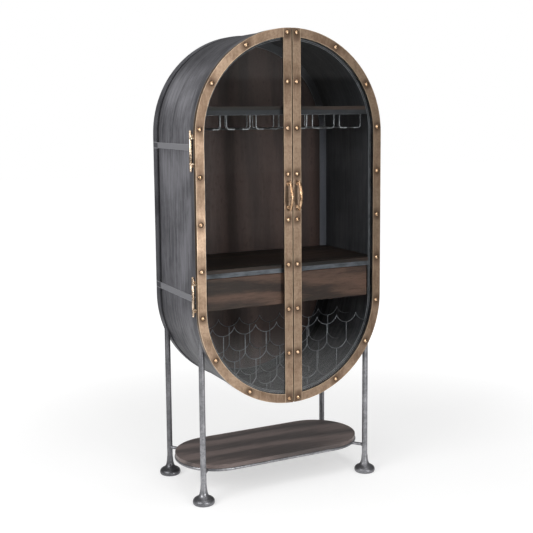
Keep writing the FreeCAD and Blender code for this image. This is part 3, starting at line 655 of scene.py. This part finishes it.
def gather(pieces, name):
    clear_selection()
    for piece in pieces:
        piece.select_set(True)
    bpy.context.view_layer.objects.active = pieces[0]
    if len(pieces) > 1:
        bpy.ops.object.join()
    pieces[0].name = name
    pieces[0].data.name = name
    return pieces[0]


def hand_over(piece, body, finish=None, stands_for=()):
    if finish:
        piece.data.materials.clear()
        piece.data.materials.append(finish)
    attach(piece, body)
    if stands_for:
        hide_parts(*stands_for)


# Rivets
def rivet_places():
    places = []
    for step in range(-2, 3):
        beyond = max(0.0, abs(step) * RIVET_PITCH - ARCH_RISE)
        places.append((math.sqrt(RIVET_LINE ** 2 - beyond ** 2), MIDDLE + step * RIVET_PITCH))
    for angle in (30, 60):
        across = RIVET_LINE * math.sin(math.radians(angle))
        rise = ARCH_RISE + RIVET_LINE * math.cos(math.radians(angle))
        places += [(across, MIDDLE + rise), (across, MIDDLE - rise)]
    places += [(STILE_MIDDLE, MIDDLE + step * RIVET_PITCH) for step in range(-3, 4)]
    return places + [(STILE_MIDDLE, MIDDLE + 0.742), (STILE_MIDDLE, MIDDLE - 0.742)]


def make_rivets():
    dome = [(0.0078, 0.0), (0.0078, 0.0006), (0.0074, 0.0018), (0.0062, 0.0032), (0.0042, 0.0042), (0.0016, 0.0047)]
    head = turn_piece(dome, (0, DOOR_FACE, 0), "Y", 20)
    head.data.materials.append(RIVET)
    stain = [(0.0112, 0.0), (0.0108, 0.00025), (0.0075, 0.0003)]
    ring = turn_piece(stain, (0, DOOR_FACE, 0), "Y", 20)
    ring.data.materials.append(PATINA)
    model = gather([head, ring], "rivet")
    right = gather(copies(model, [Vector((x, 0, z)) for x, z in rivet_places()]), "right_door_rivet_heads")
    left = gather([mirror_across(right)], "left_door_rivet_heads")
    for side, piece in (("right", right), ("left", left)):
        hand_over(piece, side + "_door", None, [side + "_door_rivets"])


# Handles
def make_handles():
    stations = (
        (0.0030, 0.0465, 90, 0.0088, 0.0086),
        (0.0060, 0.0487, 50, 0.0088, 0.0086),
        (0.0085, 0.0535, 35, 0.0088, 0.0086),
        (0.0122, 0.0580, 68, 0.0090, 0.0086),
        (0.0165, 0.0582, 112, 0.0092, 0.0086),
        (0.0205, 0.0535, 145, 0.0098, 0.0090),
        (0.0250, 0.0430, 155, 0.0114, 0.0098),
        (0.0303, 0.0283, 160, 0.0134, 0.0106),
        (0.0340, 0.0130, 170, 0.0146, 0.0110),
        (0.0348, 0.0, 180, 0.0150, 0.0112),
    )
    lower = [(out, -height, 360 - lean, w, t) for out, height, lean, w, t in reversed(stations[:-1])]
    x, z = STILE_MIDDLE, HANDLE_MIDDLE
    out, height, lean, width, thickness = stations[0]
    centre = Vector((x, DOOR_FACE - out, z + height))
    start_ring(width / 2, centre, "Y", 12)
    bpy.ops.mesh.edge_face_add()
    for out2, height2, lean2, width2, thickness2 in list(stations[1:]) + lower:
        onward = Vector((x, DOOR_FACE - out2, z + height2))
        pull(onward - centre)
        factors = (width2 / width, thickness2 / thickness, thickness2 / thickness)
        bpy.ops.transform.resize(value=factors, center_override=onward)
        bpy.ops.transform.rotate(value=math.radians(lean - lean2), orient_axis="X", center_override=onward)
        centre, lean, width, thickness = onward, lean2, width2, thickness2
    bow = tidy_mesh(60.0)
    smoothing = bow.modifiers.new("smooth_bow", "SUBSURF")
    smoothing.levels = smoothing.render_levels = 2
    bpy.ops.object.modifier_apply(modifier=smoothing.name)
    parts = [bow]
    for side in (-1, 1):
        rose = [(0.0074, 0.0), (0.0074, 0.0018), (0.0066, 0.0030), (0.0048, 0.0038), (0.0030, 0.0060)]
        parts.append(turn_piece(rose, (x, DOOR_FACE, z + side * stations[0][1]), "Y", 20))
    right = gather(parts, "right_door_bow_handle")
    left = gather([mirror_across(right)], "left_door_bow_handle")
    for side, piece in (("right", right), ("left", left)):
        hand_over(piece, side + "_door", HANDLE, [side + "_door_handle"])


# Hinges
def bent_strap(low, high):
    """A square bar from the door's edge, bent round to the barrel on the hinge axis."""
    half, bend, edge = 0.0035, 0.007, 0.4195
    clear_selection()
    middle = at_depth(0.0165)
    bpy.ops.mesh.primitive_plane_add(size=1.0, location=(edge, middle, (low + high) / 2), rotation=(0, math.pi / 2, 0))
    bpy.context.object.scale = (high - low, 2 * half, 1)
    bpy.ops.object.transform_apply(location=True, rotation=True, scale=True)
    bpy.ops.object.mode_set(mode="EDIT")
    bpy.ops.mesh.select_all(action="SELECT")
    pull(Vector((HINGE_AXIS - bend - edge, 0, 0)))
    bpy.ops.mesh.spin(steps=6, angle=math.radians(-90), center=(HINGE_AXIS - bend, middle + bend, low), axis=(0, 0, 1))
    pull(Vector((0, at_depth(HINGE_DEPTH) - middle - bend, 0)))
    strap = tidy_mesh(35.0)
    rounding = strap.modifiers.new("round_edges", "BEVEL")
    rounding.width = 0.0007
    rounding.segments = 2
    bpy.ops.object.modifier_apply(modifier=rounding.name)
    return strap


def make_hinges():
    x, depth, face = HINGE_AXIS, at_depth(HINGE_DEPTH), 0.4198
    half, arm = 0.0522, 0.006
    near = half + 0.0005
    far = near + 0.0178
    barrel = [(0.0046, -half), (0.0055, -half + 0.0009), (0.0055, -half + 0.005), (0.0049, -half + 0.006),
              (0.0055, -half + 0.007), (0.0055, half - 0.007), (0.0049, half - 0.006), (0.0055, half - 0.005),
              (0.0055, half - 0.0009), (0.0046, half)]
    end = [(0.0046, near), (0.0055, near + 0.0009), (0.0055, far - 0.0009), (0.0046, far), (0.0034, far + 0.0006),
           (0.0034, far + 0.0015), (0.0044, far + 0.0026), (0.0050, far + 0.0045), (0.0046, far + 0.0066),
           (0.0032, far + 0.0088), (0.0012, far + 0.0098)]
    door_parts, case_parts = [], []
    for z in (MIDDLE + HINGE_RISE, MIDDLE - HINGE_RISE):
        door_parts.append(turn_piece(barrel, (x, depth, z)))
        door_parts += [bent_strap(low, low + arm) for low in (z - half, z + half - arm)]
        for side in (-1, 1):
            levels = end if side > 0 else [(r, -h) for r, h in reversed(end)]
            case_parts.append(turn_piece(levels, (x, depth, z)))
            low, high = sorted((side * near, side * (near + arm)))
            near_corner, far_corner = (face, at_depth(0.0265), z + low), (x, at_depth(0.0335), z + high)
            case_parts.append(bevelled_block(near_corner, far_corner, 0.0008))
            middle = z + side * (near + arm / 2)
            low, high = middle - 0.0075, middle + 0.0075
            case_parts.append(bevelled_block((face, at_depth(0.022), low), (0.422, at_depth(0.042), high), 0.0006))
    right_door = gather(door_parts, "right_door_hinge_barrels")
    left_door = gather([mirror_across(right_door)], "left_door_hinge_barrels")
    case_right = gather(case_parts, "case_hinge_barrels")
    case = gather([case_right, mirror_across(case_right)], "case_hinge_barrels")
    hand_over(right_door, "right_door", HINGE, ["right_door_knuckles"])
    hand_over(left_door, "left_door", HINGE, ["left_door_knuckles"])
    hand_over(case, "cabinet", HINGE, ["case_knuckles"])


# Stemware rack
def make_stemware_rack():
    pitch, half_width, slot = 0.130, 0.0515, 0.020
    top, rail, bend, bar = 1.583, 1.508, 0.012, 1.566
    front, rear = at_depth(0.094), at_depth(0.394)
    drop = top - rail - bend
    inward = half_width - slot - bend
    wires = []
    for channel in range(6):
        centre = (channel - 2.5) * pitch
        for side in (-1, 1):
            x = centre + side * half_width
            pivot_x = x - side * bend
            for y in (front, rear):
                wires.append(bent_wire(STEM_WIRE, (x, y, top), "Z", [
                    ((0, 0, -drop),),
                    ((pivot_x, y, rail + bend), (0, 1, 0), side * 90, 6),
                    ((-side * inward, 0, 0),),
                ]))
            wires.append(bent_wire(STEM_WIRE, (centre + side * slot, front - STEM_WIRE, rail), "Y", [
                ((0, rear - front + 2 * STEM_WIRE, 0),),
            ]))
    reach = 2.5 * pitch + half_width + 0.008
    for y in (front + 2 * STEM_WIRE, rear - 2 * STEM_WIRE):
        wires.append(bent_wire(STEM_WIRE, (-reach, y, bar), "X", [((2 * reach, 0, 0),)]))
    rack = gather(wires, "stemware_wires")
    hand_over(rack, "cabinet", STEM_STEEL, ["stemware_rack"])


# Bottle rack
def make_bottle_racks():
    pitch, dip, row_step = 0.096, 0.034, 0.110
    bend = (pitch ** 2 / 4 + dip ** 2) / (2 * dip)
    swing = math.degrees(math.asin(pitch / 2 / bend))
    first_trough, bottoms = 0.682, 0.3875
    centre_z = MIDDLE - ARCH_RISE
    for name, depth in (("front", 0.060), ("rear", 0.217)):
        y = at_depth(depth)
        wires = []
        for row, bottles in enumerate(ROW_BOTTLES):
            trough = first_trough - row * row_step
            pivot_z = trough + bend
            last = row == 2
            for cradle in range(bottles + 2):
                x = (cradle - (bottles + 1) / 2) * pitch
                start_turn, sweep = -swing, 2 * swing
                outer = cradle in (0, bottles + 1)
                if outer:
                    clip = 0.0 if last else reach_of_shell(x, pivot_z, bend, centre_z, swing)
                    if x < 0:
                        start_turn = -clip
                    sweep = swing + clip
                turn = math.radians(start_turn)
                start = Vector((x + bend * math.sin(turn), y, pivot_z - bend * math.cos(turn)))
                start_ring(BOTTLE_WIRE, start, "X", 8)
                bpy.ops.mesh.edge_face_add()
                bpy.ops.transform.rotate(value=-turn, orient_axis="Y", center_override=start)
                bpy.ops.mesh.spin(steps=14, angle=math.radians(sweep), center=(x, y, pivot_z), axis=(0, 1, 0))
                wires.append(tidy_mesh(50.0))
                if cradle:
                    peak = (x - pitch / 2, y, trough + dip)
                    bead = [(0.0008, -0.0024), (0.0019, -0.0014), (0.0023, 0.0), (0.0019, 0.0012), (0.0008, 0.0018)]
                    wires.append(turn_piece(bead, peak, "Z", 8))
            posts = [(step - (bottles - 1) / 2) * pitch for step in range(bottles)]
            if last:
                posts = [-2 * pitch] + posts + [2 * pitch]
            below = 0 if last else (ROW_BOTTLES[row + 1] + 1) * pitch / 2
            for x in posts:
                low = trough - row_step + dip
                if abs(x) > below - 0.001:
                    low = max(bottoms, centre_z - math.sqrt(SHELL_INSIDE ** 2 - x ** 2))
                wires.append(bent_wire(BOTTLE_WIRE, (x, y, trough), "Z", [((0, 0, low - trough),)]))
        rack = gather(wires, name + "_bottle_wires")
        hand_over(rack, "cabinet", BOTTLE_STEEL, ["bottle_rack_" + name])


def reach_of_shell(x, pivot_z, bend, centre_z, swing):
    """The turn, in degrees, at which a cradle at the end of a row meets the shell."""
    turn = -swing
    while turn < swing:
        across = abs(x) + bend * math.sin(math.radians(turn))
        height = pivot_z - bend * math.cos(math.radians(turn))
        if math.hypot(across, min(0.0, height - centre_z)) > SHELL_INSIDE:
            break
        turn += 0.5
    return turn


# Feet and lower shelf
def make_feet():
    levels = [(0.0400, 0.0), (0.0415, 0.0006), (0.0438, 0.0034), (0.0449, 0.0075), (0.0450, 0.0115), (0.0440, 0.0160),
              (0.0412, 0.0205), (0.0368, 0.0242), (0.0312, 0.0272), (0.0258, 0.0304), (0.0214, 0.0350),
              (0.0182, 0.0412), (0.0158, 0.0500), (0.0141, 0.0610), (0.0130, 0.0740), (0.0121, 0.0800)]
    foot = turn_piece(levels, (0, 0, 0), "Z", 40)
    places = [Vector((x, at_depth(depth), 0)) for x in (-LEG_X, LEG_X) for depth in LEG_DEPTHS]
    feet = gather(copies(foot, places), "turned_feet")
    hand_over(feet, "cabinet", LEG, ["feet"])


def make_lower_ring():
    radius, y = 0.0065, at_depth(0.2485)
    z = LOWER_BOARD_UNDERSIDE - radius
    line, reach = 0.183 - radius, 0.240
    ring = bent_wire(radius, (-reach, y - line, z), "X", [
        ((2 * reach, 0, 0),),
        ((reach, y, z), (0, 0, 1), 180, 32),
        ((-2 * reach, 0, 0),),
        ((-reach, y, z), (0, 0, 1), 180, 32),
    ], 12)
    ring = gather([ring], "lower_shelf_rod")
    hand_over(ring, "cabinet", LEG, ["lower_shelf_ring"])
    parts = []
    for x in (-LEG_X, LEG_X):
        for depth in LEG_DEPTHS:
            leg = Vector((x, at_depth(depth), z))
            toward = Vector((math.copysign(reach, x), y, z)) - leg
            length = toward.length - line
            away = toward.normalized()
            weld = [(0.0090, 0.010), (0.0076, 0.0135), (0.0066, 0.018), (0.0066, length - 0.012),
                    (0.0070, length - 0.007), (0.0082, length - 0.002)]
            strut = turn_piece(weld, (0, 0, 0), "Z", 18)
            strut.data.transform(Matrix.Translation(leg) @ away.to_track_quat("Z", "Y").to_matrix().to_4x4())
            parts.append(strut)
    struts = gather(parts, "lower_shelf_tie_rods")
    hand_over(struts, "cabinet", LEG, ["lower_shelf_struts"])


# Small screws that hold the back panel
def make_back_screws():
    back = at_depth(0.459)
    head = [(0.0012, -0.0018), (0.0030, -0.0015), (0.0042, -0.0006), (0.0042, 0.0004)]
    screw = turn_piece(head, (0, back, 0), "Y", 16)
    clear_selection()
    places = []
    for step in range(-2, 3):
        places += [(side * SCREW_LINE, MIDDLE + step * 0.17) for side in (-1, 1)]
    for angle in range(-60, 61, 30):
        x = SCREW_LINE * math.sin(math.radians(angle))
        rise = ARCH_RISE + SCREW_LINE * math.cos(math.radians(angle))
        places += [(x, MIDDLE + rise), (x, MIDDLE - rise)]
    screws = gather(copies(screw, [Vector((x, 0, z)) for x, z in places]), "back_panel_screws")
    hand_over(screws, "cabinet", BAR)


# Studio
def add_studio():
    clear_selection()
    bpy.ops.mesh.primitive_plane_add(size=40.0, location=(0, 0, 0))
    floor = bpy.context.object
    floor.name = "studio_floor"
    finish, tree, surface, place = new_finish("studio_floor")
    surface.inputs["Roughness"].default_value = 0.9
    surface.inputs["Specular IOR Level"].default_value = 0.0
    seen, glossy = studio_rays(tree)
    away = put(tree, "ShaderNodeVectorMath", {"operation": "LENGTH"}, i0=place).outputs["Value"]
    unlit = maths(tree, "MULTIPLY", glossy, ramp(tree, away, 1.6, 3.4))
    pale = blend_colour(tree, unlit, (0.50, 0.50, 0.50, 1), (0.0, 0.0, 0.0, 1))
    tree.links.new(pale, surface.inputs["Base Color"])
    seen = maths(tree, "MULTIPLY", seen, ramp(tree, away, 0.9, 3.0, 0.54, 0.85))
    mirrored = maths(tree, "MULTIPLY", glossy, ramp(tree, away, 1.6, 3.4, 0.55, 0.02))
    surface.inputs["Emission Color"].default_value = (1, 1, 1, 1)
    tree.links.new(maths(tree, "MAXIMUM", seen, mirrored), surface.inputs["Emission Strength"])
    floor.data.materials.append(finish)
    world = bpy.data.worlds.new("studio_world")
    bpy.context.scene.world = world
    world.use_nodes = True
    tree = world.node_tree
    seen, glossy = studio_rays(tree)
    level = maths(tree, "MULTIPLY_ADD", seen, 0.60, 0.40)
    toward = put(tree, "ShaderNodeSeparateXYZ", Vector=tree.nodes.new("ShaderNodeTexCoord").outputs["Generated"])
    dim = ramp(tree, toward.outputs["Z"], 0.032, 0.040, -0.34, -0.20)
    level = maths(tree, "MULTIPLY_ADD", glossy, dim, level)
    background = tree.nodes["Background"]
    background.inputs["Color"].default_value = (1, 1, 1, 1)
    tree.links.new(level, background.inputs["Strength"])
    # The softboxes light every piece but the panes, which mirror the floor and the room.
    panes = bpy.data.collections.new("door_panes")
    for name in ("left_door_glass", "right_door_glass"):
        panes.objects.link(nodes[name])
    for pane in panes.collection_objects:
        pane.light_linking.link_state = "EXCLUDE"
    for name, place, aim, width, height, power in (
        ("left_softbox", (-3.6, -1.2, 2.4), (0, 0, 1.1), 2.2, 2.2, 105.0),
        ("front_softbox", (0.0, -4.2, 2.8), (0, 0, 1.1), 2.0, 2.0, 45.0),
        ("strip_softbox", (0.62, -4.2, 0.95), (0, 0, 1.1), 0.9, 1.7, 52.0),
        ("top_softbox", (0.2, -0.6, 4.2), (0, 0, 0.8), 2.6, 2.6, 34.0),
    ):
        light = bpy.data.lights.new(name, "AREA")
        light.shape = "RECTANGLE"
        light.energy = power
        light.size = width
        light.size_y = height
        lamp = bpy.data.objects.new(name, light)
        lamp.location = place
        lamp.rotation_euler = (Vector(aim) - Vector(place)).to_track_quat("-Z", "Y").to_euler()
        lamp.light_linking.receiver_collection = panes
        bpy.context.scene.collection.objects.link(lamp)


def dress_solids():
    for name in nodes:
        for words, finish in (
            (("_sheet",), SHEET),
            (("_board",), SHELF_WOOD),
            (("partition",), SHELF_WOOD),
            (("back_panel",), PANEL_WOOD),
            (("_leg", "feet", "lower_shelf_ring", "struts"), LEG),
            (("stemware_rack",), STEM_STEEL),
            (("bottle_rack",), BOTTLE_STEEL),
            (("drawer_sides",), DRAWER_SIDE_WOOD),
            (("_drawer_",), DRAWER_WOOD),
            (("_shelf_angle",), ANGLE),
            (("glass_stop",), BAR),
            (("_glass",), GLASS),
            (("door_buffers",), RUBBER),
            (("knuckles", "hinge_pins"), HINGE),
            (("_door_",), BRASS),
            (("",), BAR),
        ):
            if any(word in name for word in words):
                dress([name], LOWER_WOOD if name == "lower_shelf_board" else finish)
                break


add_camera()
dress_solids()
make_rivets()
make_handles()
make_hinges()
make_stemware_rack()
make_bottle_racks()
make_feet()
make_lower_ring()
make_back_screws()
add_studio()
bpy.context.scene.view_settings.view_transform = "Standard"
